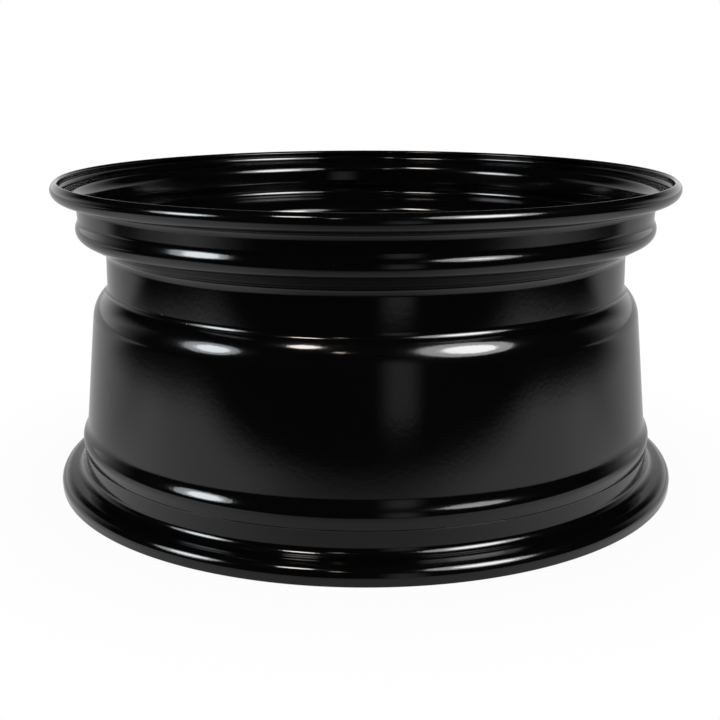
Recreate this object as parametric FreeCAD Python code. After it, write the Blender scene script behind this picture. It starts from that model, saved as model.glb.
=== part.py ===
import FreeCAD, Part
import math
import os
from FreeCAD import Vector

# A pressed-steel car wheel, lying on the lip of its inboard side with its face up.
# The wheel's axis is Z, and the origin is on the axis, level with the inboard lip.
# Lengths are in millimetres and angles in degrees.

# Rim: size, flanges and bead seats
bead_seat_diameter = 436.6
width_between_flanges = 203.2
flange_height = 17.3
flange_curl_radius = 7.5
lip_lean = 45.0
lip_end_run = 1.35
inboard_curl_radius = 9.5
flange_root_radius = 6.5
seat_taper = 5.0
rim_gauge = 3.2
sheet_edge_round = 1.1

# Rim: round humps, measured from the flange faces
hump_foot_offset = 13.0
hump_rise_length = 5.0
hump_height = 1.6
hump_fall = 1.46
hump_blend_radius = 7.0
inner_hump_foot_offset = 16.2
inner_hump_foot_radius = 5.0
inner_hump_offset = 22.7
inner_hump_height = 1.8
inner_hump_blend_radius = 13.0

# Rim: drop centre, measured from the outboard lip
well_depth = 21.2
well_wall_offset = 41.2
well_wall_angle = 29.0
well_wall_round = 6.6
well_root_radius = 8.0
well_slope_offset = 82.7
well_slope_angle = 35.0
well_slope_root_radius = 5.0

# Rim: coned barrel, which ends at the inner hump
barrel_shoulder_radius = 23.3
barrel_taper = 4.9
barrel_end_run = 10.5
barrel_end_drop = 3.6
barrel_flare_radius = 42.0

# Valve hole, through the outboard wall of the well
valve_hole_diameter = 11.5
valve_azimuth = 0.0
valve_hole_edge_round = 0.6

# Disc: hub fitting
hub_face_offset = 0.0
disc_gauge = 5.0
bore_diameter = 71.5
collar_height = 16.0
collar_root_radius = 2.0
stud_count = 5
stud_circle_diameter = 127.0
stud_hole_diameter = 15.2
stud_seat_diameter = 21.5
stud_seat_angle = 60.0
stud_boss_diameter = 27.0
stud_boss_height = 3.0
stud_boss_draft = 30.0
stud_boss_foot_round = 1.0
stud_boss_top_round = 0.5

# Disc: pressed form, from the hub pad out to the skirt
pad_margin = 10.0
pad_bend_radius = 9.0
dish_wall_angle = 62.0
knee_rise = 28.0
knee_bend_radius = 14.0
shoulder_bend_radius = 5.0
skirt_height = 15.3
skirt_edge_offset = 7.4

# Disc: hand holes, midway between the knee and the skirt
hand_hole_count = 8
hand_hole_diameter = 38.0
hand_hole_edge_round = 1.2

# Weld beads between the skirt's free edge and the well
weld_count = 8
weld_arc = 26.0
weld_leg = 3.6
weld_throat = 3.0

# How far an edge may stand from a radius, at so many points along it, to be taken to lie on it
edge_tolerance = 0.01
edge_samples = 9

middle_of_base = Vector(0, 0, 0)
upright = Vector(0, 0, 1)


def point(radius, height):
    """A point of a section, in the plane through the axis."""
    return Vector(radius, 0, height)


def meet(a, b, c, d):
    """Where the line through a and b crosses the line through c and d."""
    u = b - a
    v = d - c
    share = ((c.x - a.x) * v.z - (c.z - a.z) * v.x) / (u.x * v.z - u.z * v.x)
    return a + u * share


def offset_path(path, distance):
    """The path moved to its left by a distance, with each bend's radius changed to suit."""
    runs = []
    for (start, _), (end, _) in zip(path, path[1:]):
        along = (end - start).normalize()
        side = Vector(-along.z, 0, along.x) * distance
        runs.append((start + side, end + side, along))
    moved = [(runs[0][0], path[0][1])]
    for before, after, (_, radius) in zip(runs, runs[1:], path[1:]):
        left_turn = before[2].x * after[2].z - before[2].z * after[2].x > 0
        bend = radius - distance if left_turn else radius + distance
        moved.append((meet(before[0], before[1], after[0], after[1]), bend))
    moved.append((runs[-1][1], path[-1][1]))
    return moved


def rounded_face(corners):
    """A flat face from a closed list of (point, radius) corners, each rounded by its radius."""
    arcs = []
    for i, (corner, radius) in enumerate(corners):
        to_last = (corners[i - 1][0] - corner).normalize()
        to_next = (corners[(i + 1) % len(corners)][0] - corner).normalize()
        half = to_last.getAngle(to_next) / 2
        run = radius / math.tan(half)
        inward = (to_last + to_next).normalize()
        middle = corner + inward * (radius / math.sin(half) - radius)
        arcs.append((corner + to_last * run, middle, corner + to_next * run))
    edges = []
    for i, (start, middle, end) in enumerate(arcs):
        edges.append(Part.Arc(start, middle, end).toShape())
        edges.append(Part.LineSegment(end, arcs[(i + 1) % len(arcs)][0]).toShape())
    return Part.Face(Part.Wire(edges))


def pressed_sheet(path, gauge):
    """The section of a bent sheet: the path on one side, and the same path a gauge away on its left."""
    return rounded_face(path + list(reversed(offset_path(path, gauge))))


def turned(section, arc=360.0, start=0.0):
    """A section turned about the wheel's axis."""
    placed = section.copy()
    placed.rotate(middle_of_base, upright, start)
    return placed.revolve(middle_of_base, upright, arc)


def around(shape, count, first=0.0):
    """Copies of a shape, evenly spaced about the wheel's axis."""
    copies = []
    for i in range(count):
        copy = shape.copy()
        copy.rotate(middle_of_base, upright, first + i * 360.0 / count)
        copies.append(copy)
    return copies


def slope(angle):
    return math.tan(math.radians(angle))


def ring_edges(shape, radius, places, axis):
    """The edges of a shape that run, at a radius, round lines along an axis through some places."""
    found = []
    for edge in shape.Edges:
        if edge.Length < radius:
            continue
        for place in places:
            gaps = [abs((p - place).cross(axis).Length - radius) for p in edge.discretize(edge_samples)]
            if max(gaps) < edge_tolerance:
                found.append(edge)
    return found


# The outboard lip's curl goes on past upright, and its rounded end is the wheel's highest place
lean = math.radians(lip_lean)
lip_outward = point(math.cos(lean), math.sin(lean))
lip_along = point(-math.sin(lean), math.cos(lean))
lip_trim = sheet_edge_round * (math.cos(lean) + math.sin(lean) - 1)
lip_end = lip_outward * flange_curl_radius + lip_along * lip_end_run
flange_width = flange_curl_radius + lip_end.z - lip_trim

# Sizes that follow from the ones above
overall_width = width_between_flanges + 2 * flange_width
seat_radius = bead_seat_diameter / 2
lip_radius = seat_radius + flange_height
well_radius = seat_radius - well_depth
well_inner_radius = well_radius - rim_gauge
outboard_face = overall_width - flange_width
inboard_face = flange_width
hump_foot_radius = seat_radius - hump_foot_offset * slope(seat_taper)
hump_radius = hump_foot_radius + hump_height
slope_foot = point(well_radius, overall_width - well_slope_offset)
wall_top = point(hump_radius - hump_fall, overall_width - well_wall_offset)
wall_foot = point(well_radius, wall_top.z - (wall_top.x - well_radius) * slope(well_wall_angle))


def rim_path():
    """The tyre side of the rim, from the inboard lip up to the outboard lip."""
    inner_foot_radius = seat_radius - inner_hump_foot_offset * slope(seat_taper)
    hump_end = point(inner_foot_radius + inner_hump_height, inboard_face + inner_hump_offset)
    barrel_foot = point(hump_end.x - barrel_end_drop, hump_end.z + barrel_end_run)
    barrel_top = point(barrel_foot.x - slope(barrel_taper), barrel_foot.z + 1)
    slope_top = point(well_radius + slope(well_slope_angle), slope_foot.z - 1)
    shoulder = meet(slope_foot, slope_top, barrel_foot, barrel_top)
    hump_start = outboard_face - hump_foot_offset
    flange_foot = point(seat_radius, outboard_face)
    lip_tip = point(lip_radius - flange_curl_radius, outboard_face + flange_curl_radius) + lip_end
    curl = meet(flange_foot, point(lip_radius, outboard_face), lip_tip - lip_along, lip_tip)
    return [
        (point(lip_radius, 0), sheet_edge_round),
        (point(lip_radius, inboard_face), inboard_curl_radius),
        (point(seat_radius, inboard_face), flange_root_radius),
        (point(inner_foot_radius, inboard_face + inner_hump_foot_offset), inner_hump_foot_radius),
        (hump_end, inner_hump_blend_radius),
        (barrel_foot, barrel_flare_radius),
        (shoulder, barrel_shoulder_radius),
        (slope_foot, well_slope_root_radius),
        (wall_foot, well_root_radius),
        (wall_top, well_wall_round),
        (point(hump_radius, hump_start - hump_rise_length), hump_blend_radius),
        (point(hump_foot_radius, hump_start), hump_blend_radius),
        (flange_foot, flange_root_radius),
        (curl, flange_curl_radius),
        (lip_tip, sheet_edge_round),
    ]


def make_rim():
    """The rolled hoop, with a valve hole square to the outboard wall of the well and at its middle."""
    rim = turned(pressed_sheet(rim_path(), rim_gauge))
    angle = math.radians(well_wall_angle)
    outward = Vector(-math.sin(angle), 0, math.cos(angle))
    middle = (wall_top + wall_foot) * 0.5 + outward * (rim_gauge / 2)
    hole_radius = valve_hole_diameter / 2
    drill = Part.makeCylinder(hole_radius, 4 * rim_gauge, middle - outward * (2 * rim_gauge), outward)
    rim = rim.cut(drill).Solids[0]
    rim = rim.makeFillet(valve_hole_edge_round, ring_edges(rim, hole_radius, [middle], outward))
    rim.rotate(middle_of_base, upright, valve_azimuth)
    return rim


hub_face = overall_width / 2 + hub_face_offset
pad_top = hub_face + disc_gauge
skirt_radius = well_inner_radius - disc_gauge
skirt_end = slope_foot.z + skirt_edge_offset
shoulder_top = skirt_end + skirt_height
stud_boss_foot = stud_boss_diameter / 2
stud_boss_top = stud_boss_foot - stud_boss_height * slope(stud_boss_draft)
pad_radius = stud_circle_diameter / 2 + stud_boss_foot + pad_margin
knee = point(pad_radius + knee_rise / slope(dish_wall_angle), hub_face + knee_rise)
hand_hole_circle_diameter = knee.x + skirt_radius


def disc_path():
    """The inboard side of the disc, from the top of the collar out to the skirt's free edge."""
    return [
        (point(bore_diameter / 2, hub_face + collar_height), sheet_edge_round),
        (point(bore_diameter / 2, hub_face), collar_root_radius + disc_gauge),
        (point(pad_radius, hub_face), pad_bend_radius + disc_gauge),
        (knee, knee_bend_radius),
        (point(skirt_radius, shoulder_top), shoulder_bend_radius),
        (point(skirt_radius, skirt_end), sheet_edge_round),
    ]


def stud_boss():
    """The raised ring that is pressed up round a stud hole."""
    centre = Vector(stud_circle_diameter / 2, 0, pad_top)
    return Part.makeCone(stud_boss_foot, stud_boss_top, stud_boss_height, centre)


def stud_drill():
    """A stud hole with its conical nut seat."""
    centre = Vector(stud_circle_diameter / 2, 0, hub_face)
    height = disc_gauge + stud_boss_height
    hole = Part.makeCylinder(stud_hole_diameter / 2, height, centre)
    seat_depth = (stud_seat_diameter - stud_hole_diameter) / 2 / slope(stud_seat_angle / 2)
    seat_foot = centre + Vector(0, 0, height - seat_depth)
    seat = Part.makeCone(stud_hole_diameter / 2, stud_seat_diameter / 2, seat_depth, seat_foot)
    return hole.fuse(seat)


def hand_hole_punch():
    """The punch for one hand hole, along the axis and as long as the disc is high."""
    foot = Vector(hand_hole_circle_diameter / 2, 0, hub_face)
    return Part.makeCylinder(hand_hole_diameter / 2, shoulder_top + 2 * disc_gauge - hub_face, foot)


def spaced(circle_diameter, count):
    """Points that are evenly spaced round a circle about the wheel's axis."""
    return [vertex.Point for vertex in around(Part.Vertex(circle_diameter / 2, 0, 0), count)]


def make_disc():
    studs = spaced(stud_circle_diameter, stud_count)
    hand_holes = spaced(hand_hole_circle_diameter, hand_hole_count)
    disc = turned(pressed_sheet(disc_path(), disc_gauge))
    disc = disc.fuse(around(stud_boss(), stud_count)).Solids[0]
    disc = disc.makeFillet(stud_boss_foot_round, ring_edges(disc, stud_boss_foot, studs, upright))
    disc = disc.makeFillet(stud_boss_top_round, ring_edges(disc, stud_boss_top, studs, upright))
    disc = disc.cut(Part.Compound(around(stud_drill(), stud_count)))
    disc = disc.cut(Part.Compound(around(hand_hole_punch(), hand_hole_count))).Solids[0]
    edges = ring_edges(disc, hand_hole_diameter / 2, hand_holes, upright)
    return disc.makeFillet(hand_hole_edge_round, edges)


def make_weld_beads():
    """Fillet beads with a crowned face, in the corner of the skirt's edge and the well."""
    root = point(well_inner_radius, skirt_end)
    on_rim = root - point(0, weld_leg)
    on_skirt = root - point(weld_leg, 0)
    crown = root - point(1, 1).normalize() * weld_throat
    section = Part.Face(Part.Wire([
        Part.LineSegment(root, on_rim).toShape(),
        Part.Arc(on_rim, crown, on_skirt).toShape(),
        Part.LineSegment(on_skirt, root).toShape(),
    ]))
    bead = turned(section, weld_arc, -weld_arc / 2)
    return Part.Compound(around(bead, weld_count, 180.0 / weld_count))


os.makedirs("parts", exist_ok=True)
make_rim().exportStep("parts/rim.step")
make_disc().exportStep("parts/disc.step")
make_weld_beads().exportStep("parts/weld_beads.step")
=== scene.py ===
import math

import bmesh
import bpy
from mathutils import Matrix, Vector


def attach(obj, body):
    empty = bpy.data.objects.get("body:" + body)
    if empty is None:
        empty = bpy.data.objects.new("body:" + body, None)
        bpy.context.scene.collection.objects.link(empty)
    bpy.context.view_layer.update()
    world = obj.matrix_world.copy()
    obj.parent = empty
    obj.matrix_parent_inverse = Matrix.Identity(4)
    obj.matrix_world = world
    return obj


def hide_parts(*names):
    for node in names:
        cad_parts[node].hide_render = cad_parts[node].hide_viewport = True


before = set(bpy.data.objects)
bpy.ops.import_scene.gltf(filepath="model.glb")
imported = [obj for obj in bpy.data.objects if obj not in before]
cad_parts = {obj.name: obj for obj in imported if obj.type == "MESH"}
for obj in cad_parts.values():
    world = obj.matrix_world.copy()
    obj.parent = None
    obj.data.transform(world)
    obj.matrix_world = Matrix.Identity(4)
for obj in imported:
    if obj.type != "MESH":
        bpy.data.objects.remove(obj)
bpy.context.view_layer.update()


# Paint
# Black stoving enamel, sprayed over the whole welded wheel and baked: a hard gloss film with a faint orange
# peel, slow changes in how well it flowed out, and a few specks of settled dust.
peel = bpy.data.node_groups.new("stoved_paint_film", "ShaderNodeTree")
for name, kind, value in (
    ("Colour", "NodeSocketColor", (0.0016, 0.0016, 0.0017, 1.0)),
    ("Dust Colour", "NodeSocketColor", (0.16, 0.15, 0.14, 1.0)),
    ("Smoothest", "NodeSocketFloat", 0.075),
    ("Roughest", "NodeSocketFloat", 0.12),
    ("Peel Depth", "NodeSocketFloat", 0.05),
    ("Dust", "NodeSocketFloat", 1.0),
):
    socket = peel.interface.new_socket(name, in_out="INPUT", socket_type=kind)
    socket.default_value = value
for name, kind in (
    ("Colour", "NodeSocketColor"),
    ("Roughness", "NodeSocketFloat"),
    ("Normal", "NodeSocketVector"),
):
    peel.interface.new_socket(name, in_out="OUTPUT", socket_type=kind)
asked = peel.nodes.new("NodeGroupInput")
given = peel.nodes.new("NodeGroupOutput")
place = peel.nodes.new("ShaderNodeTexCoord")
flow = peel.nodes.new("ShaderNodeTexNoise")
flow.inputs["Scale"].default_value = 11.0
flow.inputs["Detail"].default_value = 3.0
flow_range = peel.nodes.new("ShaderNodeMapRange")
flow_range.inputs["From Min"].default_value = 0.35
flow_range.inputs["From Max"].default_value = 0.65
pimple = peel.nodes.new("ShaderNodeTexNoise")
pimple.inputs["Scale"].default_value = 330.0
pimple.inputs["Detail"].default_value = 1.0
pimple_bump = peel.nodes.new("ShaderNodeBump")
pimple_bump.inputs["Distance"].default_value = 0.0004
speck = peel.nodes.new("ShaderNodeTexVoronoi")
speck.inputs["Scale"].default_value = 52.0
speck_near = peel.nodes.new("ShaderNodeMath")
speck_near.operation = "LESS_THAN"
speck_near.inputs[1].default_value = 0.022
speck_part = peel.nodes.new("ShaderNodeSeparateColor")
speck_few = peel.nodes.new("ShaderNodeMath")
speck_few.operation = "GREATER_THAN"
speck_few.inputs[1].default_value = 0.86
speck_both = peel.nodes.new("ShaderNodeMath")
speck_both.operation = "MULTIPLY"
speck_asked = peel.nodes.new("ShaderNodeMath")
speck_asked.operation = "MULTIPLY"
speck_colour = peel.nodes.new("ShaderNodeMix")
speck_colour.data_type = "RGBA"
speck_dull = peel.nodes.new("ShaderNodeMath")
speck_dull.operation = "MULTIPLY_ADD"
speck_dull.inputs[1].default_value = 0.4
for out, into in (
    (place.outputs["Object"], flow.inputs["Vector"]),
    (flow.outputs["Fac"], flow_range.inputs["Value"]),
    (asked.outputs["Smoothest"], flow_range.inputs["To Min"]),
    (asked.outputs["Roughest"], flow_range.inputs["To Max"]),
    (place.outputs["Object"], pimple.inputs["Vector"]),
    (pimple.outputs["Fac"], pimple_bump.inputs["Height"]),
    (asked.outputs["Peel Depth"], pimple_bump.inputs["Strength"]),
    (pimple_bump.outputs["Normal"], given.inputs["Normal"]),
    (place.outputs["Object"], speck.inputs["Vector"]),
    (speck.outputs["Distance"], speck_near.inputs[0]),
    (speck.outputs["Color"], speck_part.inputs["Color"]),
    (speck_part.outputs["Red"], speck_few.inputs[0]),
    (speck_near.outputs["Value"], speck_both.inputs[0]),
    (speck_few.outputs["Value"], speck_both.inputs[1]),
    (speck_both.outputs["Value"], speck_asked.inputs[0]),
    (asked.outputs["Dust"], speck_asked.inputs[1]),
    (speck_asked.outputs["Value"], speck_colour.inputs["Factor"]),
    (asked.outputs["Colour"], speck_colour.inputs["A"]),
    (asked.outputs["Dust Colour"], speck_colour.inputs["B"]),
    (speck_colour.outputs["Result"], given.inputs["Colour"]),
    (speck_asked.outputs["Value"], speck_dull.inputs[0]),
    (flow_range.outputs["Result"], speck_dull.inputs[2]),
    (speck_dull.outputs["Value"], given.inputs["Roughness"]),
):
    peel.links.new(out, into)
paint = bpy.data.materials.new("gloss_black_paint")
paint.use_nodes = True
surface = paint.node_tree.nodes["Principled BSDF"]
film = paint.node_tree.nodes.new("ShaderNodeGroup")
film.node_tree = peel
surface.inputs["IOR"].default_value = 1.40
paint.node_tree.links.new(film.outputs["Colour"], surface.inputs["Base Color"])
paint.node_tree.links.new(film.outputs["Roughness"], surface.inputs["Roughness"])
paint.node_tree.links.new(film.outputs["Normal"], surface.inputs["Normal"])


# Rim
# The hoop: one strip of 3.2 mm sheet steel, butt-welded into a ring and rolled between shaped rollers, so its
# section is the same all the way round. The lips are rolled over, and the valve hole is punched last.
def sheet_section(path, gauge):
    """Both sides of a bent sheet as one closed run of corners (radius, height, bend), in millimetres."""
    runs = []
    for start, end in zip(path, path[1:]):
        along = Vector((end[0] - start[0], end[1] - start[1]))
        side = Vector((-along.y, along.x)).normalized() * gauge
        runs.append((Vector(start[:2]) + side, along))
    other = [(*runs[0][0], path[0][2])]
    for (p, u), (q, v), corner in zip(runs, runs[1:], path[1:]):
        bend = corner[2] - math.copysign(gauge, u.cross(v))
        other.append((*(p + u * ((q - p).cross(v) / u.cross(v))), bend))
    other.append((*(runs[-1][0] + runs[-1][1]), path[-1][2]))
    return path + other[::-1]


tyre_side = [
    (235.26, -0.074, 1.1),
    (235.68, 5.97, 6.0),
    (233.08, 12.4, 7.5),
    (218.3, 13.302, 6.5),
    (217.5, 28.5, 4.0),
    (219.27, 38.56, 10.0),
    (215.18, 45.38, 17.5),
    (207.2, 138.45, 26.5),
    (197.1, 147.87, 6.0),
    (197.1, 177.406, 8.0),
    (221.34, 190.84, 9.0),
    (216.6, 201.0, 9.0),
    (218.3, 216.502, 6.5),
    (232.99, 216.502, 8.0),
    (236.7, 225.69, 5.8),
    (231.64, 230.25, 1.1),
]
millimetre = 0.001
rim_gauge = 3.2
lip_radius = 235.6
seat_line = [(217.64, 29.3, 0.1), (217.05, 29.5, 0.06), (217.711, 29.7, 0.1)]
seat_line_place = 5
fewest_steps, degrees_per_step = 5, 6
corners = sheet_section(tyre_side, rim_gauge)
corners[seat_line_place:seat_line_place] = seat_line
bend_steps = []
for last, corner, following in zip(corners[-1:] + corners, corners, corners[1:] + corners[:1]):
    before = Vector(corner[:2]) - Vector(last[:2])
    after = Vector(following[:2]) - Vector(corner[:2])
    bend_steps.append(max(fewest_steps, round(math.degrees(before.angle(after)) / degrees_per_step)))
section = bpy.data.meshes.new("rim")
section.from_pydata(
    [((r - lip_radius) * millimetre, -z * millimetre, 0.0) for r, z, _ in corners],
    [(i, (i + 1) % len(corners)) for i in range(len(corners))],
    [],
)
for name, kind, values in (
    ("bend_radius", "FLOAT", [bend * millimetre for _, _, bend in corners]),
    ("bend_steps", "INT", bend_steps),
):
    section.attributes.new(name, kind, "POINT").data.foreach_set("value", values)
rim = bpy.data.objects.new("rim", section)
bpy.context.collection.objects.link(rim)

rolling = bpy.data.node_groups.new("rolled_rim", "GeometryNodeTree")
rolling.interface.new_socket("Geometry", in_out="OUTPUT", socket_type="NodeSocketGeometry")
for name, kind in (
    ("Section", "NodeSocketGeometry"),
    ("Lip Radius", "NodeSocketFloat"),
    ("Turn Steps", "NodeSocketInt"),
    ("Valve Hole Radius", "NodeSocketFloat"),
    ("Valve Hole Length", "NodeSocketFloat"),
    ("Valve Hole Land", "NodeSocketFloat"),
    ("Valve Hole Place", "NodeSocketVector"),
    ("Valve Hole Tilt", "NodeSocketVector"),
    ("Sharp Angle", "NodeSocketFloat"),
    ("Paint", "NodeSocketMaterial"),
):
    rolling.interface.new_socket(name, in_out="INPUT", socket_type=kind)
asked = rolling.nodes.new("NodeGroupInput")
given = rolling.nodes.new("NodeGroupOutput")
outline = rolling.nodes.new("GeometryNodeMeshToCurve")
bend = rolling.nodes.new("GeometryNodeFilletCurve")
bend.mode = "POLY"
bend_radius = rolling.nodes.new("GeometryNodeInputNamedAttribute")
bend_radius.data_type = "FLOAT"
bend_radius.inputs["Name"].default_value = "bend_radius"
bend_count = rolling.nodes.new("GeometryNodeInputNamedAttribute")
bend_count.data_type = "INT"
bend_count.inputs["Name"].default_value = "bend_steps"
round_path = rolling.nodes.new("GeometryNodeCurvePrimitiveCircle")
sweep = rolling.nodes.new("GeometryNodeCurveToMesh")
punch = rolling.nodes.new("GeometryNodeMeshCylinder")
punch.inputs["Vertices"].default_value = 64
punch.inputs["Side Segments"].default_value = 16
where = rolling.nodes.new("GeometryNodeInputPosition")
axes = rolling.nodes.new("ShaderNodeSeparateXYZ")
from_middle = rolling.nodes.new("ShaderNodeMath")
from_middle.operation = "ABSOLUTE"
past_land = rolling.nodes.new("ShaderNodeMath")
past_land.operation = "SUBTRACT"
eased = rolling.nodes.new("ShaderNodeMath")
eased.operation = "MAXIMUM"
eased.inputs[1].default_value = 0.0
eased_share = rolling.nodes.new("ShaderNodeMath")
eased_share.operation = "DIVIDE"
sideways = rolling.nodes.new("ShaderNodeCombineXYZ")
widen_by = rolling.nodes.new("ShaderNodeVectorMath")
widen_by.operation = "MULTIPLY"
widened = rolling.nodes.new("GeometryNodeSetPosition")
punch_place = rolling.nodes.new("GeometryNodeTransform")
punched = rolling.nodes.new("GeometryNodeMeshBoolean")
punched.operation = "DIFFERENCE"
fold = rolling.nodes.new("GeometryNodeInputMeshEdgeAngle")
is_sharp = rolling.nodes.new("FunctionNodeCompare")
sharp = rolling.nodes.new("GeometryNodeSetShadeSmooth")
sharp.domain = "EDGE"
sharp.inputs["Shade Smooth"].default_value = False
real = rolling.nodes.new("GeometryNodeRealizeInstances")
painted = rolling.nodes.new("GeometryNodeSetMaterial")
for out, into in (
    (asked.outputs["Section"], outline.inputs["Mesh"]),
    (outline.outputs["Curve"], bend.inputs["Curve"]),
    (bend_radius.outputs["Attribute"], bend.inputs["Radius"]),
    (bend_count.outputs["Attribute"], bend.inputs["Count"]),
    (asked.outputs["Turn Steps"], round_path.inputs["Resolution"]),
    (asked.outputs["Lip Radius"], round_path.inputs["Radius"]),
    (round_path.outputs["Curve"], sweep.inputs["Curve"]),
    (bend.outputs["Curve"], sweep.inputs["Profile Curve"]),
    (asked.outputs["Valve Hole Radius"], punch.inputs["Radius"]),
    (asked.outputs["Valve Hole Length"], punch.inputs["Depth"]),
    (where.outputs["Position"], axes.inputs["Vector"]),
    (axes.outputs["Z"], from_middle.inputs[0]),
    (from_middle.outputs["Value"], past_land.inputs[0]),
    (asked.outputs["Valve Hole Land"], past_land.inputs[1]),
    (past_land.outputs["Value"], eased.inputs[0]),
    (eased.outputs["Value"], eased_share.inputs[0]),
    (asked.outputs["Valve Hole Radius"], eased_share.inputs[1]),
    (eased_share.outputs["Value"], sideways.inputs["X"]),
    (eased_share.outputs["Value"], sideways.inputs["Y"]),
    (sideways.outputs["Vector"], widen_by.inputs[0]),
    (where.outputs["Position"], widen_by.inputs[1]),
    (punch.outputs["Mesh"], widened.inputs["Geometry"]),
    (widen_by.outputs["Vector"], widened.inputs["Offset"]),
    (widened.outputs["Geometry"], punch_place.inputs["Geometry"]),
    (asked.outputs["Valve Hole Place"], punch_place.inputs["Translation"]),
    (asked.outputs["Valve Hole Tilt"], punch_place.inputs["Rotation"]),
    (sweep.outputs["Mesh"], punched.inputs["Mesh 1"]),
    (punch_place.outputs["Geometry"], punched.inputs["Mesh 2"]),
    (punched.outputs["Mesh"], sharp.inputs["Geometry"]),
    (fold.outputs["Unsigned Angle"], is_sharp.inputs["A"]),
    (asked.outputs["Sharp Angle"], is_sharp.inputs["B"]),
    (is_sharp.outputs["Result"], sharp.inputs["Selection"]),
    (sharp.outputs["Geometry"], real.inputs["Geometry"]),
    (real.outputs["Geometry"], painted.inputs["Geometry"]),
    (asked.outputs["Paint"], painted.inputs["Material"]),
    (painted.outputs["Geometry"], given.inputs["Geometry"]),
):
    rolling.links.new(out, into)
rolled = rim.modifiers.new("rolled_rim", "NODES")
rolled.node_group = rolling
named = {s.name: s.identifier for s in rolling.interface.items_tree if s.in_out == "INPUT"}
rolled[named["Lip Radius"]] = lip_radius * millimetre
rolled[named["Turn Steps"]] = 240
rolled[named["Valve Hole Radius"]] = 0.00575
rolled[named["Valve Hole Length"]] = 0.016
rolled[named["Valve Hole Land"]] = 0.001
rolled[named["Valve Hole Place"]] = (0.20642, 0.0, 0.18440)
rolled[named["Valve Hole Tilt"]] = (0.0, math.radians(-29.0), 0.0)
rolled[named["Sharp Angle"]] = math.radians(40.0)
rolled[named["Paint"]] = paint
even = rim.modifiers.new("even_shading", "WEIGHTED_NORMAL")
even.keep_sharp = True
rim.data = bpy.data.meshes.new_from_object(rim.evaluated_get(bpy.context.evaluated_depsgraph_get()))
rim.data.name = "rim"
rim.modifiers.clear()
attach(rim, "root")
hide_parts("rim")


# Disc
# The wheel's centre: one 5 mm steel blank, deep-drawn to its dish, with a raised collar round the hub bore,
# five coined nut seats and eight round hand holes. Its skirt is pressed into the hoop's well and welded there.
def rounded(corners):
    """The points of a closed run of corners, with each bend drawn as an arc in short steps."""
    degrees_per_step = 7
    points = []
    for last, corner, following in zip(corners[-1:] + corners, corners, corners[1:] + corners[:1]):
        middle = Vector(corner[:2])
        back = (Vector(last[:2]) - middle).normalized()
        on = (Vector(following[:2]) - middle).normalized()
        half = back.angle(on) / 2
        centre = middle + (back + on).normalized() * corner[2] / math.sin(half)
        start = middle + back * corner[2] / math.tan(half) - centre
        turn = math.copysign(math.pi - 2 * half, on.cross(back))
        steps = max(2, math.ceil(math.degrees(abs(turn)) / degrees_per_step))
        for i in range(steps + 1):
            c, s = math.cos(turn * i / steps), math.sin(turn * i / steps)
            points.append((centre.x + c * start.x - s * start.y, centre.y + s * start.x + c * start.y))
    return points


def split(line, radii):
    """An open run of section points, cut where it first reaches each radius."""
    parts, part, left = [], [line[0]], list(radii)
    for a, b in zip(line, line[1:]):
        while left and a[0] < left[0] <= b[0]:
            share = (left[0] - a[0]) / (b[0] - a[0])
            cut = (left.pop(0), a[1] + share * (b[1] - a[1]))
            parts.append(part + [cut])
            part = [cut]
        part.append(b)
    return parts + [part]


def height(line, radius):
    for a, b in zip(line, line[1:]):
        if a[0] <= radius <= b[0]:
            return a[1] + (radius - a[0]) / (b[0] - a[0]) * (b[1] - a[1])
    return line[0][1] if radius < line[0][0] else line[-1][1]


def strip(bm, line, count, steps):
    """The part of a turned surface that belongs to one of count equal sectors."""
    angles = [math.pi / count * (2 * i / steps - 1) for i in range(steps + 1)]
    rows = [[bm.verts.new((r * math.cos(t), r * math.sin(t), z)) for t in angles] for r, z in line]
    for a, b in zip(rows, rows[1:]):
        for i in range(steps):
            bm.faces.new((a[i], a[i + 1], b[i + 1], b[i]))


def pierced(bm, top, bottom, count, steps, side_steps, centre, rings):
    """One sector of the sheet between two lines, with a hole at centre made of rings (line, radius, lift)."""
    inner, outer, wide = top[0][0], top[-1][0], math.pi / count
    border = [(inner, wide * (2 * i / steps - 1)) for i in range(steps)]
    border += [(inner + (outer - inner) * i / side_steps, wide) for i in range(side_steps)]
    border += [(outer, wide * (1 - 2 * i / steps)) for i in range(steps)]
    border += [(outer - (outer - inner) * i / side_steps, -wide) for i in range(side_steps)]
    border = [Vector((r * math.cos(t), r * math.sin(t))) for r, t in border]
    middle = Vector((centre, 0))
    ways = [(b - middle).normalized() for b in border]
    web_rows, crowding = 8, 0.8
    shares = [(i / web_rows) ** crowding for i in range(web_rows)]
    loops = []
    for share in shares:
        loops.append([(top, b.lerp(middle + way * rings[0][1], share), 0) for b, way in zip(border, ways)])
    for line, radius, lift in rings:
        loops.append([(line, middle + way * radius, lift) for way in ways])
    for share in reversed(shares):
        loops.append([(bottom, b.lerp(middle + way * rings[-1][1], share), 0) for b, way in zip(border, ways)])
    loops = [
        [bm.verts.new((p.x, p.y, height(line, p.length) + lift)) for line, p, lift in loop] for loop in loops
    ]
    for a, b in zip(loops, loops[1:]):
        for i in range(len(border)):
            j = (i + 1) % len(border)
            bm.faces.new((a[i], a[j], b[j], b[i]))


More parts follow.
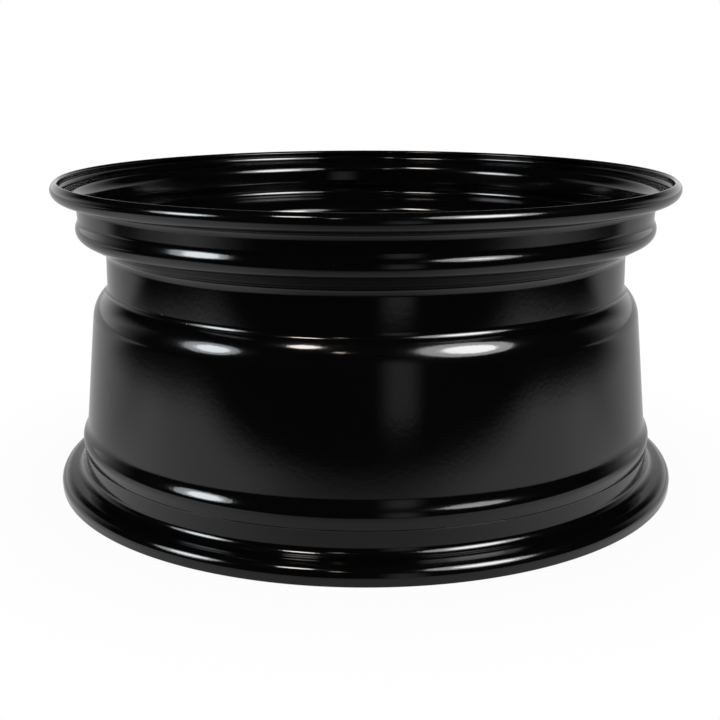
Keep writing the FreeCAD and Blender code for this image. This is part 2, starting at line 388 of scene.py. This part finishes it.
repeating = bpy.data.node_groups.new("spaced_round_axis", "GeometryNodeTree")
repeating.interface.new_socket("Geometry", in_out="OUTPUT", socket_type="NodeSocketGeometry")
for name, kind in (
    ("Sector", "NodeSocketGeometry"),
    ("Count", "NodeSocketInt"),
    ("Joining Distance", "NodeSocketFloat"),
    ("Paint", "NodeSocketMaterial"),
):
    repeating.interface.new_socket(name, in_out="INPUT", socket_type=kind)
asked = repeating.nodes.new("NodeGroupInput")
given = repeating.nodes.new("NodeGroupOutput")
single = repeating.nodes.new("GeometryNodeGeometryToInstance")
copies = repeating.nodes.new("GeometryNodeDuplicateElements")
copies.domain = "INSTANCE"
pitch = repeating.nodes.new("ShaderNodeMath")
pitch.operation = "DIVIDE"
pitch.inputs[0].default_value = 2 * math.pi
turn_by = repeating.nodes.new("ShaderNodeMath")
turn_by.operation = "MULTIPLY"
about_axis = repeating.nodes.new("ShaderNodeCombineXYZ")
turned = repeating.nodes.new("GeometryNodeRotateInstances")
real = repeating.nodes.new("GeometryNodeRealizeInstances")
joined = repeating.nodes.new("GeometryNodeMergeByDistance")
painted = repeating.nodes.new("GeometryNodeSetMaterial")
for out, into in (
    (asked.outputs["Sector"], single.inputs[0]),
    (single.outputs["Instances"], copies.inputs["Geometry"]),
    (asked.outputs["Count"], copies.inputs["Amount"]),
    (asked.outputs["Count"], pitch.inputs[1]),
    (pitch.outputs["Value"], turn_by.inputs[0]),
    (copies.outputs["Duplicate Index"], turn_by.inputs[1]),
    (turn_by.outputs["Value"], about_axis.inputs["Z"]),
    (copies.outputs["Geometry"], turned.inputs["Instances"]),
    (about_axis.outputs["Vector"], turned.inputs["Rotation"]),
    (turned.outputs["Instances"], real.inputs["Geometry"]),
    (real.outputs["Geometry"], joined.inputs["Geometry"]),
    (asked.outputs["Joining Distance"], joined.inputs["Distance"]),
    (joined.outputs["Geometry"], painted.inputs["Geometry"]),
    (asked.outputs["Paint"], painted.inputs["Material"]),
    (painted.outputs["Geometry"], given.inputs["Geometry"]),
):
    repeating.links.new(out, into)

inboard_side = [
    (35.75, 130.9, 1.1),
    (35.75, 114.9, 7.0),
    (87.0, 114.9, 14.0),
    (101.888, 142.9, 14.0),
    (188.9, 169.8, 5.0),
    (188.9, 154.5, 1.1),
]
disc_gauge = 5.0
loop = rounded(sheet_section(inboard_side, disc_gauge))
ends = []
for r, z, _ in (inboard_side[0], inboard_side[-1]):
    middle = r + disc_gauge / 2
    ends.append(min(range(len(loop)), key=lambda i: abs(loop[i][0] - middle) + abs(loop[i][1] - z)))
collar_edge, skirt_edge = ends
loop = loop[collar_edge:] + loop[:collar_edge]
skirt_edge = (skirt_edge - collar_edge) % len(loop)
sector_cuts = [46.0, 82.0, 93.0, 114.0, 178.0]
under = split(loop[: skirt_edge + 1], sector_cuts)
over = split([loop[0]] + loop[: skirt_edge - 1 : -1], sector_cuts)

# Each ring of a hole is (0 for the inboard face or 1 for the outboard one, radius, lift off that face).
nut_seat = [(1, 15.4, 0), (1, 14.1, 0), (1, 13.85, 0.04), (1, 13.6, 0.14), (1, 13.38, 0.3), (1, 13.2, 0.52)]
nut_seat += [(1, 12.55, 1.64), (1, 11.92, 2.74), (1, 11.82, 2.87), (1, 11.68, 2.96), (1, 11.48, 3.0)]
nut_seat += [(1, 11.0, 3.0), (1, 10.84, 2.96), (1, 10.7, 2.8), (1, 9.2, 0.32), (1, 7.75, -2.2), (1, 7.6, -2.55)]
nut_seat += [(0, 7.6, 0.6), (0, 7.72, 0.2), (0, 8.1, 0), (0, 10, 0)]
hand_hole = [(1, 21.5, 0), (1, 20.3, 0), (1, 19.8, -0.1), (1, 19.35, -0.4), (1, 19.1, -0.8), (1, 19.0, -1.3)]
hand_hole += [(1, 19.0, -2.6), (0, 19.0, 1.3), (0, 19.1, 0.8), (0, 19.35, 0.4), (0, 19.8, 0.1)]
hand_hole += [(0, 20.3, 0), (0, 21.5, 0)]
stud_circle_radius, hand_hole_circle_radius = 63.5, 145.394
joining_distance = 0.00001
pieces = []
for name, count, sheets, steps, side_steps, centre, rings in (
    ("hub_sector", 5, (0, 1, 2), 48, 10, stud_circle_radius, nut_seat),
    ("web_sector", 8, (3, 4, 5), 30, 14, hand_hole_circle_radius, hand_hole),
):
    first, holed, last = sheets
    sector = bmesh.new()
    for side in (under, over):
        strip(sector, side[first], count, steps)
        strip(sector, side[last], count, steps)
    faces = (under[holed], over[holed])
    rings = [(faces[face], radius, lift) for face, radius, lift in rings]
    pierced(sector, over[holed], under[holed], count, steps, side_steps, centre, rings)
    bmesh.ops.scale(sector, vec=(millimetre, millimetre, millimetre), verts=sector.verts)
    mesh = bpy.data.meshes.new(name)
    sector.to_mesh(mesh)
    sector.free()
    piece = bpy.data.objects.new(name, mesh)
    bpy.context.collection.objects.link(piece)
    spaced = piece.modifiers.new("spaced_round_axis", "NODES")
    spaced.node_group = repeating
    named = {s.name: s.identifier for s in repeating.interface.items_tree if s.in_out == "INPUT"}
    spaced[named["Count"]] = count
    spaced[named["Joining Distance"]] = joining_distance
    spaced[named["Paint"]] = paint
    pieces.append(piece)
whole = bmesh.new()
for piece in pieces:
    mesh = bpy.data.meshes.new_from_object(piece.evaluated_get(bpy.context.evaluated_depsgraph_get()))
    whole.from_mesh(mesh)
    bpy.data.objects.remove(piece)
bmesh.ops.remove_doubles(whole, verts=whole.verts, dist=joining_distance)
bmesh.ops.recalc_face_normals(whole, faces=whole.faces)
for face in whole.faces:
    face.smooth = True
mesh = bpy.data.meshes.new("disc")
whole.to_mesh(mesh)
whole.free()
mesh.materials.append(paint)
disc = bpy.data.objects.new("disc", mesh)
bpy.context.collection.objects.link(disc)
even = disc.modifiers.new("even_shading", "WEIGHTED_NORMAL")
disc.data = bpy.data.meshes.new_from_object(disc.evaluated_get(bpy.context.evaluated_depsgraph_get()))
disc.data.name = "disc"
disc.modifiers.clear()
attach(disc, "root")
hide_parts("disc")


# Weld beads
# Eight runs of fillet weld that hold the skirt's free edge to the well, laid by a robot in one pass each: a
# rippled crown that starts and stops in a rounded end, and painted with the rest.
bead_section = [(0.0, 0.0), (0.0, 3.6), (-0.62, 3.3), (-1.22, 2.92), (-1.74, 2.5), (-2.12, 2.12)]
bead_section += [(-y, -x) for x, y in bead_section[-2:0:-1]] + [(-3.6, 0.0)]
mesh = bpy.data.meshes.new("weld_beads")
mesh.from_pydata(
    [(x * millimetre, y * millimetre, 0.0) for x, y in bead_section],
    [(i, (i + 1) % len(bead_section)) for i in range(len(bead_section))],
    [],
)
weld_beads = bpy.data.objects.new("weld_beads", mesh)
bpy.context.collection.objects.link(weld_beads)
welding = bpy.data.node_groups.new("weld_runs", "GeometryNodeTree")
welding.interface.new_socket("Geometry", in_out="OUTPUT", socket_type="NodeSocketGeometry")
for name, kind in (
    ("Section", "NodeSocketGeometry"),
    ("Count", "NodeSocketInt"),
    ("Root Radius", "NodeSocketFloat"),
    ("Root Height", "NodeSocketVector"),
    ("Start", "NodeSocketFloat"),
    ("Sweep", "NodeSocketFloat"),
    ("Ripple Pitch", "NodeSocketFloat"),
    ("Ripple Depth", "NodeSocketFloat"),
    ("End Length", "NodeSocketFloat"),
    ("Paint", "NodeSocketMaterial"),
):
    welding.interface.new_socket(name, in_out="INPUT", socket_type=kind)
asked = welding.nodes.new("NodeGroupInput")
given = welding.nodes.new("NodeGroupOutput")
outline = welding.nodes.new("GeometryNodeMeshToCurve")
run = welding.nodes.new("GeometryNodeCurveArc")
run.inputs["Resolution"].default_value = 330
along = welding.nodes.new("GeometryNodeSplineParameter")
whole_length = welding.nodes.new("GeometryNodeSplineLength")
sums = {}
for name, operation, value in (
    ("ripple_count", "DIVIDE", None),
    ("ripple_part", "FRACT", None),
    ("ripple_angle", "MULTIPLY", math.pi),
    ("ripple_wave", "SINE", None),
    ("ripple_crest", "POWER", 0.6),
    ("ripple_drop", "SUBTRACT", None),
    ("ripple_cut", "MULTIPLY", None),
    ("ripple_size", "SUBTRACT", None),
    ("to_end", "SUBTRACT", None),
    ("nearest_end", "MINIMUM", None),
    ("end_share", "DIVIDE", None),
    ("end_inside", "MINIMUM", 1.0),
    ("end_gap", "SUBTRACT", None),
    ("end_square", "MULTIPLY", None),
    ("end_height", "SUBTRACT", None),
    ("end_round", "SQRT", None),
    ("end_size", "MAXIMUM", 0.12),
    ("size", "MULTIPLY", None),
):
    sums[name] = welding.nodes.new("ShaderNodeMath")
    sums[name].operation = operation
    if value is not None:
        sums[name].inputs[1].default_value = value
for name in ("ripple_drop", "ripple_size", "end_gap", "end_height"):
    sums[name].inputs[0].default_value = 1.0
sweep = welding.nodes.new("GeometryNodeCurveToMesh")
sweep.inputs["Fill Caps"].default_value = True
lift = welding.nodes.new("GeometryNodeTransform")
single = welding.nodes.new("GeometryNodeGeometryToInstance")
copies = welding.nodes.new("GeometryNodeDuplicateElements")
copies.domain = "INSTANCE"
pitch = welding.nodes.new("ShaderNodeMath")
pitch.operation = "DIVIDE"
pitch.inputs[0].default_value = 2 * math.pi
turn_by = welding.nodes.new("ShaderNodeMath")
turn_by.operation = "MULTIPLY"
about_axis = welding.nodes.new("ShaderNodeCombineXYZ")
turned = welding.nodes.new("GeometryNodeRotateInstances")
real = welding.nodes.new("GeometryNodeRealizeInstances")
painted = welding.nodes.new("GeometryNodeSetMaterial")
for out, into in (
    (asked.outputs["Section"], outline.inputs["Mesh"]),
    (asked.outputs["Root Radius"], run.inputs["Radius"]),
    (asked.outputs["Start"], run.inputs["Start Angle"]),
    (asked.outputs["Sweep"], run.inputs["Sweep Angle"]),
    (along.outputs["Length"], sums["ripple_count"].inputs[0]),
    (asked.outputs["Ripple Pitch"], sums["ripple_count"].inputs[1]),
    (sums["ripple_count"].outputs[0], sums["ripple_part"].inputs[0]),
    (sums["ripple_part"].outputs[0], sums["ripple_angle"].inputs[0]),
    (sums["ripple_angle"].outputs[0], sums["ripple_wave"].inputs[0]),
    (sums["ripple_wave"].outputs[0], sums["ripple_crest"].inputs[0]),
    (sums["ripple_crest"].outputs[0], sums["ripple_drop"].inputs[1]),
    (sums["ripple_drop"].outputs[0], sums["ripple_cut"].inputs[0]),
    (asked.outputs["Ripple Depth"], sums["ripple_cut"].inputs[1]),
    (sums["ripple_cut"].outputs[0], sums["ripple_size"].inputs[1]),
    (whole_length.outputs["Length"], sums["to_end"].inputs[0]),
    (along.outputs["Length"], sums["to_end"].inputs[1]),
    (along.outputs["Length"], sums["nearest_end"].inputs[0]),
    (sums["to_end"].outputs[0], sums["nearest_end"].inputs[1]),
    (sums["nearest_end"].outputs[0], sums["end_share"].inputs[0]),
    (asked.outputs["End Length"], sums["end_share"].inputs[1]),
    (sums["end_share"].outputs[0], sums["end_inside"].inputs[0]),
    (sums["end_inside"].outputs[0], sums["end_gap"].inputs[1]),
    (sums["end_gap"].outputs[0], sums["end_square"].inputs[0]),
    (sums["end_gap"].outputs[0], sums["end_square"].inputs[1]),
    (sums["end_square"].outputs[0], sums["end_height"].inputs[1]),
    (sums["end_height"].outputs[0], sums["end_round"].inputs[0]),
    (sums["end_round"].outputs[0], sums["end_size"].inputs[0]),
    (sums["ripple_size"].outputs[0], sums["size"].inputs[0]),
    (sums["end_size"].outputs[0], sums["size"].inputs[1]),
    (run.outputs["Curve"], sweep.inputs["Curve"]),
    (outline.outputs["Curve"], sweep.inputs["Profile Curve"]),
    (sums["size"].outputs[0], sweep.inputs["Scale"]),
    (sweep.outputs["Mesh"], lift.inputs["Geometry"]),
    (asked.outputs["Root Height"], lift.inputs["Translation"]),
    (lift.outputs["Geometry"], single.inputs[0]),
    (single.outputs["Instances"], copies.inputs["Geometry"]),
    (asked.outputs["Count"], copies.inputs["Amount"]),
    (asked.outputs["Count"], pitch.inputs[1]),
    (pitch.outputs["Value"], turn_by.inputs[0]),
    (copies.outputs["Duplicate Index"], turn_by.inputs[1]),
    (turn_by.outputs["Value"], about_axis.inputs["Z"]),
    (copies.outputs["Geometry"], turned.inputs["Instances"]),
    (about_axis.outputs["Vector"], turned.inputs["Rotation"]),
    (turned.outputs["Instances"], real.inputs["Geometry"]),
    (real.outputs["Geometry"], painted.inputs["Geometry"]),
    (asked.outputs["Paint"], painted.inputs["Material"]),
    (painted.outputs["Geometry"], given.inputs["Geometry"]),
):
    welding.links.new(out, into)
runs = weld_beads.modifiers.new("weld_runs", "NODES")
runs.node_group = welding
named = {s.name: s.identifier for s in welding.interface.items_tree if s.in_out == "INPUT"}
runs[named["Count"]] = 8
runs[named["Root Radius"]] = 0.1939
runs[named["Root Height"]] = (0.0, 0.0, 0.1545)
runs[named["Start"]] = math.radians(9.5)
runs[named["Sweep"]] = math.radians(26.0)
runs[named["Ripple Pitch"]] = 0.0031
runs[named["Ripple Depth"]] = 0.13
runs[named["End Length"]] = 0.0045
runs[named["Paint"]] = paint
mesh = bpy.data.meshes.new_from_object(weld_beads.evaluated_get(bpy.context.evaluated_depsgraph_get()))
beads = bmesh.new()
beads.from_mesh(mesh)
bmesh.ops.recalc_face_normals(beads, faces=beads.faces)
for face in beads.faces:
    face.smooth = len(face.verts) == 4
beads.to_mesh(mesh)
beads.free()
mesh.name = "weld_beads"
weld_beads.modifiers.clear()
weld_beads.data = mesh
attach(weld_beads, "root")
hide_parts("weld_beads")


# Floor and backdrop
# A white table top that runs back out of sight and keeps the wheel's shadow. The eye sees it white; in the
# paint's
# reflections its glow is painted: it fades into the dark room in front and at the sides, is dimmer behind, and
# carries a painted shade in front of the wheel, as the photo's gloss shows.
white = bpy.data.materials.new("white_table")
white.use_nodes = True
nodes, links = white.node_tree.nodes, white.node_tree.links
nodes.remove(nodes["Principled BSDF"])
matt = nodes.new("ShaderNodeBsdfDiffuse")
matt.inputs["Color"].default_value = (0.92, 0.92, 0.92, 1.0)
glow = nodes.new("ShaderNodeEmission")
ray = nodes.new("ShaderNodeLightPath")
seen_or_mirrored = nodes.new("ShaderNodeMath")
seen_or_mirrored.operation = "MAXIMUM"
seen_at_all = nodes.new("ShaderNodeMath")
seen_at_all.operation = "MAXIMUM"
place = nodes.new("ShaderNodeTexCoord")
away = nodes.new("ShaderNodeVectorMath")
away.operation = "LENGTH"
glowing_part = nodes.new("ShaderNodeMath")
glowing_part.operation = "MULTIPLY"
axes = nodes.new("ShaderNodeSeparateXYZ")
aside = nodes.new("ShaderNodeMath")
aside.operation = "ABSOLUTE"
fades = {}
for name, start, end, near, far in (
    ("front", -0.64, -0.36, 0.0, 1.0),
    ("side", 0.62, 1.0, 1.0, 0.0),
    ("back", 0.1, 0.35, 0.0, 1.0),
    ("behind", -0.17, 0.03, 1.0, 0.58),
    ("shade", 0.08, 0.3, 0.5, 1.0),
    ("shadow", 0.24, 0.42, 0.94, 1.0),
):
    fades[name] = nodes.new("ShaderNodeMapRange")
    fades[name].interpolation_type = "SMOOTHSTEP"
    fades[name].inputs["From Min"].default_value = start
    fades[name].inputs["From Max"].default_value = end
    fades[name].inputs["To Min"].default_value = near
    fades[name].inputs["To Max"].default_value = far
lit = {}
for name, operation in (
    ("sheet", "MULTIPLY"),
    ("room", "MAXIMUM"),
    ("fall", "MULTIPLY"),
    ("shaded", "MULTIPLY"),
    ("level", "MAXIMUM"),
):
    lit[name] = nodes.new("ShaderNodeMath")
    lit[name].operation = operation
blend = nodes.new("ShaderNodeMixShader")
# Painted shade: in the paint's reflections the table's glow is darkened round a spot in front of the wheel.
from_shade = nodes.new("ShaderNodeVectorMath")
from_shade.operation = "DISTANCE"
from_shade.inputs[1].default_value = (-0.02, -0.4, 0.0)
for out, into in (
    (place.outputs["Object"], axes.inputs["Vector"]),
    (axes.outputs["X"], aside.inputs[0]),
    (axes.outputs["Y"], fades["front"].inputs["Value"]),
    (aside.outputs["Value"], fades["side"].inputs["Value"]),
    (axes.outputs["Y"], fades["back"].inputs["Value"]),
    (axes.outputs["Y"], fades["behind"].inputs["Value"]),
    (fades["front"].outputs["Result"], lit["sheet"].inputs[0]),
    (fades["side"].outputs["Result"], lit["sheet"].inputs[1]),
    (lit["sheet"].outputs["Value"], lit["room"].inputs[0]),
    (fades["back"].outputs["Result"], lit["room"].inputs[1]),
    (lit["room"].outputs["Value"], lit["fall"].inputs[0]),
    (fades["behind"].outputs["Result"], lit["fall"].inputs[1]),
    (place.outputs["Object"], from_shade.inputs[0]),
    (from_shade.outputs["Value"], fades["shade"].inputs["Value"]),
    (lit["fall"].outputs["Value"], lit["shaded"].inputs[0]),
    (fades["shade"].outputs["Result"], lit["shaded"].inputs[1]),
    (lit["shaded"].outputs["Value"], lit["level"].inputs[0]),
    (ray.outputs["Is Camera Ray"], lit["level"].inputs[1]),
    (lit["level"].outputs["Value"], glow.inputs["Strength"]),
    (place.outputs["Object"], away.inputs[0]),
    (away.outputs["Value"], fades["shadow"].inputs["Value"]),
    (ray.outputs["Is Camera Ray"], seen_or_mirrored.inputs[0]),
    (ray.outputs["Is Glossy Ray"], seen_or_mirrored.inputs[1]),
    (seen_or_mirrored.outputs["Value"], seen_at_all.inputs[0]),
    (ray.outputs["Is Transmission Ray"], seen_at_all.inputs[1]),
    (seen_at_all.outputs["Value"], glowing_part.inputs[0]),
    (fades["shadow"].outputs["Result"], glowing_part.inputs[1]),
    (glowing_part.outputs["Value"], blend.inputs["Fac"]),
    (matt.outputs["BSDF"], blend.inputs[1]),
    (glow.outputs["Emission"], blend.inputs[2]),
    (blend.outputs["Shader"], nodes["Material Output"].inputs["Surface"]),
):
    links.new(out, into)
floor_mesh = bpy.data.meshes.new("floor")
reach, below_lip = 30, -0.0002
floor_mesh.from_pydata(
    [(x * reach, y * reach, below_lip) for x, y in ((-1, -1), (1, -1), (1, 1), (-1, 1))], [], [(0, 1, 2, 3)]
)
floor_mesh.materials.append(white)
floor = bpy.data.objects.new("floor", floor_mesh)
bpy.context.collection.objects.link(floor)

world = bpy.data.worlds.new("studio")
bpy.context.scene.world = world
world.use_nodes = True
world.node_tree.nodes["Background"].inputs["Color"].default_value = (1.0, 1.0, 1.0, 1.0)


# Dark room
# Black sheets round and over the table, seen only in the paint's reflections: a painted dark reflection of the
# dark room round a white table that the photo's gloss shows. They thin out low down behind the wheel, where the
# white is left open.
black = bpy.data.materials.new("dark_reflection_sheet")
black.use_nodes = True
nodes, links = black.node_tree.nodes, black.node_tree.links
nodes["Principled BSDF"].inputs["Base Color"].default_value = (0.004, 0.004, 0.004, 1.0)
nodes["Principled BSDF"].inputs["Specular IOR Level"].default_value = 0.0
place = nodes.new("ShaderNodeTexCoord")
axes = nodes.new("ShaderNodeSeparateXYZ")
thick = nodes.new("ShaderNodeMath")
thick.operation = "MAXIMUM"
for slot, (axis, start, end, near, far) in enumerate((("Y", 0.3, 3.4, 1.0, 0.0), ("Z", 0.4, 2.4, 0.0, 1.0))):
    fade = nodes.new("ShaderNodeMapRange")
    fade.interpolation_type = "SMOOTHSTEP"
    fade.inputs["From Min"].default_value = start
    fade.inputs["From Max"].default_value = end
    fade.inputs["To Min"].default_value = near
    fade.inputs["To Max"].default_value = far
    links.new(axes.outputs[axis], fade.inputs["Value"])
    links.new(fade.outputs["Result"], thick.inputs[slot])
links.new(place.outputs["Object"], axes.inputs["Vector"])
links.new(thick.outputs["Value"], nodes["Principled BSDF"].inputs["Alpha"])
for name, card in (
    ("dark_reflection_front", [(-4, -4, 0), (4, -4, 0), (4, -4, 4), (-4, -4, 4)]),
    ("dark_reflection_left", [(-4, -4, 0), (-4, 3.4, 0), (-4, 3.4, 4), (-4, -4, 4)]),
    ("dark_reflection_right", [(4, -4, 0), (4, 3.4, 0), (4, 3.4, 4), (4, -4, 4)]),
    ("dark_reflection_back", [(-4, 3.4, 0), (4, 3.4, 0), (4, 3.4, 4), (-4, 3.4, 4)]),
    ("dark_reflection_top", [(-4, -4, 4), (4, -4, 4), (4, 3.4, 4), (-4, 3.4, 4)]),
):
    mesh = bpy.data.meshes.new(name)
    mesh.from_pydata(card, [], [(0, 1, 2, 3)])
    mesh.materials.append(black)
    flag = bpy.data.objects.new(name, mesh)
    flag.visible_camera = False
    flag.visible_diffuse = False
    flag.visible_shadow = False
    bpy.context.collection.objects.link(flag)


# Light strip
# A tall narrow sheet in front of the table, seen only in reflections, that glows faintly though it is no lamp:
# a painted highlight that stands as one soft streak on the barrel.
dim = bpy.data.materials.new("painted_streak_sheet")
dim.use_nodes = True
nodes, links = dim.node_tree.nodes, dim.node_tree.links
nodes.remove(nodes["Principled BSDF"])
glow = nodes.new("ShaderNodeEmission")
place = nodes.new("ShaderNodeTexCoord")
axes = nodes.new("ShaderNodeSeparateXYZ")
across = nodes.new("ShaderNodeMath")
across.operation = "SUBTRACT"
across.inputs[1].default_value = 0.19
aside = nodes.new("ShaderNodeMath")
aside.operation = "ABSOLUTE"
soft = nodes.new("ShaderNodeMapRange")
soft.interpolation_type = "SMOOTHSTEP"
soft.inputs["From Min"].default_value = 0.02
soft.inputs["From Max"].default_value = 0.15
soft.inputs["To Min"].default_value = 0.5
soft.inputs["To Max"].default_value = 0.0
rise = nodes.new("ShaderNodeMapRange")
rise.interpolation_type = "SMOOTHSTEP"
rise.inputs["From Min"].default_value = 0.25
rise.inputs["From Max"].default_value = 0.6
rise.inputs["To Min"].default_value = 1.0
rise.inputs["To Max"].default_value = 0.0
level = nodes.new("ShaderNodeMath")
level.operation = "MULTIPLY"
for out, into in (
    (place.outputs["Object"], axes.inputs["Vector"]),
    (axes.outputs["X"], across.inputs[0]),
    (across.outputs["Value"], aside.inputs[0]),
    (aside.outputs["Value"], soft.inputs["Value"]),
    (axes.outputs["Z"], rise.inputs["Value"]),
    (soft.outputs["Result"], level.inputs[0]),
    (rise.outputs["Result"], level.inputs[1]),
    (level.outputs["Value"], glow.inputs["Strength"]),
    (glow.outputs["Emission"], nodes["Material Output"].inputs["Surface"]),
):
    links.new(out, into)
mesh = bpy.data.meshes.new("light_strip")
strip_place = -0.9
mesh.from_pydata(
    [(x, strip_place, z) for x, z in ((0.03, 0.0), (0.35, 0.0), (0.35, 0.7), (0.03, 0.7))], [], [(0, 1, 2, 3)]
)
mesh.materials.append(dim)
streak = bpy.data.objects.new("light_strip", mesh)
streak.visible_camera = False
streak.visible_diffuse = False
streak.visible_shadow = False
bpy.context.collection.objects.link(streak)


# Lamps
# Two umbrellas with brighter middles, a broad one high on the right and a smaller cool one on the left, and
# two small warm lamps overhead. They are the highlights on every roll; the white world lights the rest.
middle_of_wheel = Vector((0, 0, 0.115))
for name, azimuth, raised, distance, across, strength, colour in (
    ("umbrella_right", 46, 40, 3.0, 1.85, 9.0, (1.0, 1.0, 1.0)),
    ("umbrella_right_core", 47, 39, 2.9, 1.0, 22.0, (1.0, 1.0, 1.0)),
    ("umbrella_left", -65.5, 24, 3.0, 1.3, 8.0, (0.90, 0.96, 1.0)),
    ("umbrella_left_core", -64, 24, 2.9, 0.75, 18.0, (0.90, 0.96, 1.0)),
    ("lamp_overhead", -34, 55.5, 3.0, 0.52, 34.0, (1.0, 0.92, 0.86)),
    ("lamp_small", -12, 45, 3.0, 0.18, 18.0, (1.0, 0.86, 0.66)),
):
    light = bpy.data.lights.new(name, "AREA")
    light.shape = "DISK"
    light.size = across
    light.energy = strength * math.pi * (math.pi * across**2 / 4)
    light.color = colour
    lamp = bpy.data.objects.new(name, light)
    a, e = math.radians(azimuth), math.radians(raised)
    towards = Vector((math.cos(e) * math.sin(a), -math.cos(e) * math.cos(a), math.sin(e)))
    lamp.location = middle_of_wheel + towards * distance
    lamp.rotation_euler = towards.to_track_quat("Z", "Y").to_euler()
    lamp.visible_camera = False
    lamp.visible_diffuse = False
    bpy.context.collection.objects.link(lamp)


# Camera
# At the photo's viewing angle: nearly a metre in front of the wheel's axis and a hand's breadth above its
# top lip, with a 60 mm lens tilted down by ten degrees. The shift gives the photo's framing.
view = bpy.data.cameras.new("camera")
view.lens = 60.01
view.sensor_width = 36.0
view.shift_x = -0.0081
view.shift_y = -0.1185
camera = bpy.data.objects.new("camera", view)
camera.location = (0.0, -0.920, 0.3192)
camera.rotation_euler = (math.radians(79.651), 0.0, 0.0)
bpy.context.collection.objects.link(camera)
bpy.context.scene.camera = camera
bpy.context.scene.view_settings.view_transform = "Standard"
